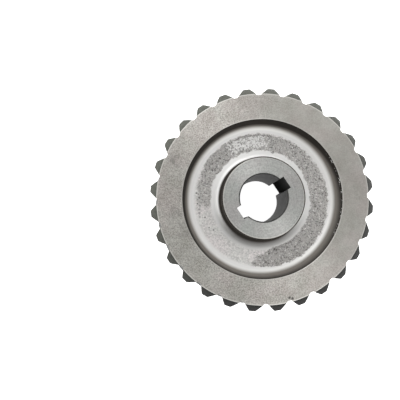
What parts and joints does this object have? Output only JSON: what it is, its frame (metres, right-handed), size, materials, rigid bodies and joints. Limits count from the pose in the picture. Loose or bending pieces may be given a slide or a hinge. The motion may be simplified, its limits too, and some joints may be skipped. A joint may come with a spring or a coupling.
{
  "type": "worm wheel",
  "caption": "Cast and machined worm wheel with slanting throated teeth, a web dished on both sides and a hub bore with two opposite keyways.",
  "frame": {"origin": "centre of the bore at the lower end of the hub, which the wheel lies on", "axes": "+Z along the bore axis, up out of the hub; +X through the middle of a tooth gap, halfway up the rim"},
  "size_m": [0.1738, 0.1738, 0.064],
  "materials": {
    "machined_casting": "machined faces, bore and teeth, with part of the web left as cast"
  },
  "bodies": {
    "root": {"worm_wheel": "machined_casting"}
  },
  "joints": []
}
